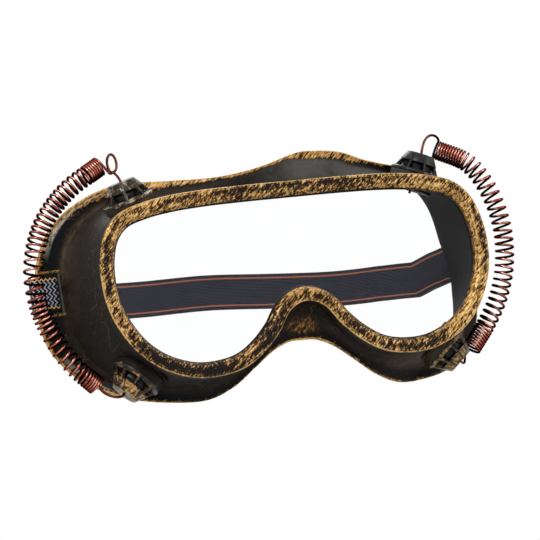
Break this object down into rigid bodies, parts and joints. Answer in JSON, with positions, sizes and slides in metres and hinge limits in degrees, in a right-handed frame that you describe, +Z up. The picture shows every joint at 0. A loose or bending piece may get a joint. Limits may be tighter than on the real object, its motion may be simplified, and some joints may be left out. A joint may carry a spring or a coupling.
{
  "type": "steampunk goggles",
  "caption": "Steampunk goggles with one wide lens, slotted vent caps joined by copper coil springs down each side, and an elastic webbing strap.",
  "frame": {"origin": "centre of the lens's front face", "axes": "-Y is the direction the wearer looks, +Y is towards the face, +X is the viewer's right in the picture, +Z is up"},
  "size_m": [0.2031, 0.107, 0.0991],
  "materials": {
    "body": "soft vinyl brushed with worn gold paint over black",
    "lens": "clear polycarbonate",
    "cap_gold": "worn gold paint over black plastic",
    "cap_black": "satin black with worn gold on its brim",
    "grille": "matt black",
    "copper": "bright copper wire",
    "webbing": "dark navy elastic webbing with a copper-coloured line along each edge",
    "thread": "sewing thread"
  },
  "bodies": {
    "frame": {"goggle_body": "body", "lens": "lens", "vent_cap_upper_left": "cap_gold", "vent_cap_upper_right": "cap_black", "vent_cap_lower_left": "cap_gold", "vent_cap_lower_right": "cap_gold", "vent_grille_upper_left": "grille", "vent_grille_upper_right": "grille", "vent_grille_lower_left": "grille", "vent_grille_lower_right": "grille", "coil_spring_left": "copper", "coil_spring_right": "copper", "strap_end_left": "webbing", "strap_end_right": "webbing", "strap_stitching_left": "thread", "strap_stitching_right": "thread"},
    "strap_arms": {"strap_side_left": "webbing", "strap_side_right": "webbing"},
    "strap_loop": {"strap_back": "webbing"}
  },
  "joints": [
    {"name": "strap_swing", "type": "hinge", "parent": "frame", "child": "strap_arms", "pos_m": [0, 0.05761, 0.00452], "axis": [0.9994, 0, -0.0351], "range_deg": [-35, 35]},
    {"name": "strap_stretch", "type": "slide", "parent": "strap_arms", "child": "strap_loop", "axis": [0, 1, 0], "range_m": [0, 0.05], "stiffness_N_per_m": 60, "deforming": ["strap_side_left", "strap_side_right"]}
  ]
}
